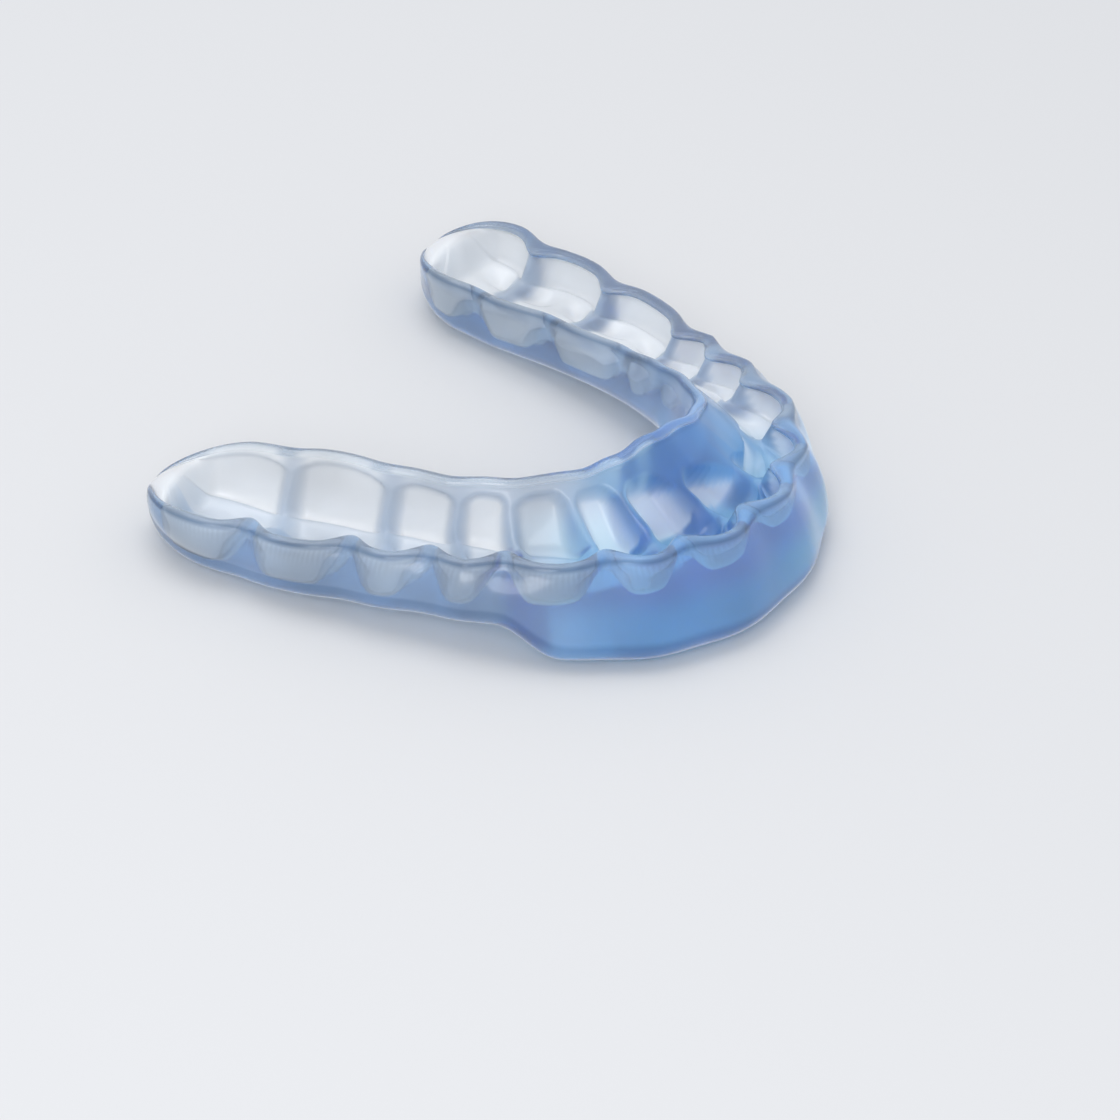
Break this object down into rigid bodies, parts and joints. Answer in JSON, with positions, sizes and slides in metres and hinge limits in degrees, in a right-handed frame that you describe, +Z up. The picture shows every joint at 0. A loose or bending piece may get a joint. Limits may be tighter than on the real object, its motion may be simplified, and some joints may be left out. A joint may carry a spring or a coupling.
{
  "type": "clear aligner",
  "caption": "U-shaped clear dental tray with tooth pockets along both arms, a scalloped rim, a tall wall behind the front teeth and a deep flat bite ramp under them.",
  "frame": {"origin": "centre of the bounding box's bottom, on the plane that the bite ramp and the arms' ends stand on", "axes": "+X towards the arm with one pocket more, -Y towards the front teeth, +Z up out of the tooth pockets"},
  "size_m": [0.0618, 0.0544, 0.0134],
  "materials": {
    "resin": "frosted translucent pale blue printed resin, satin"
  },
  "bodies": {
    "root": {"aligner": "resin"}
  },
  "joints": []
}
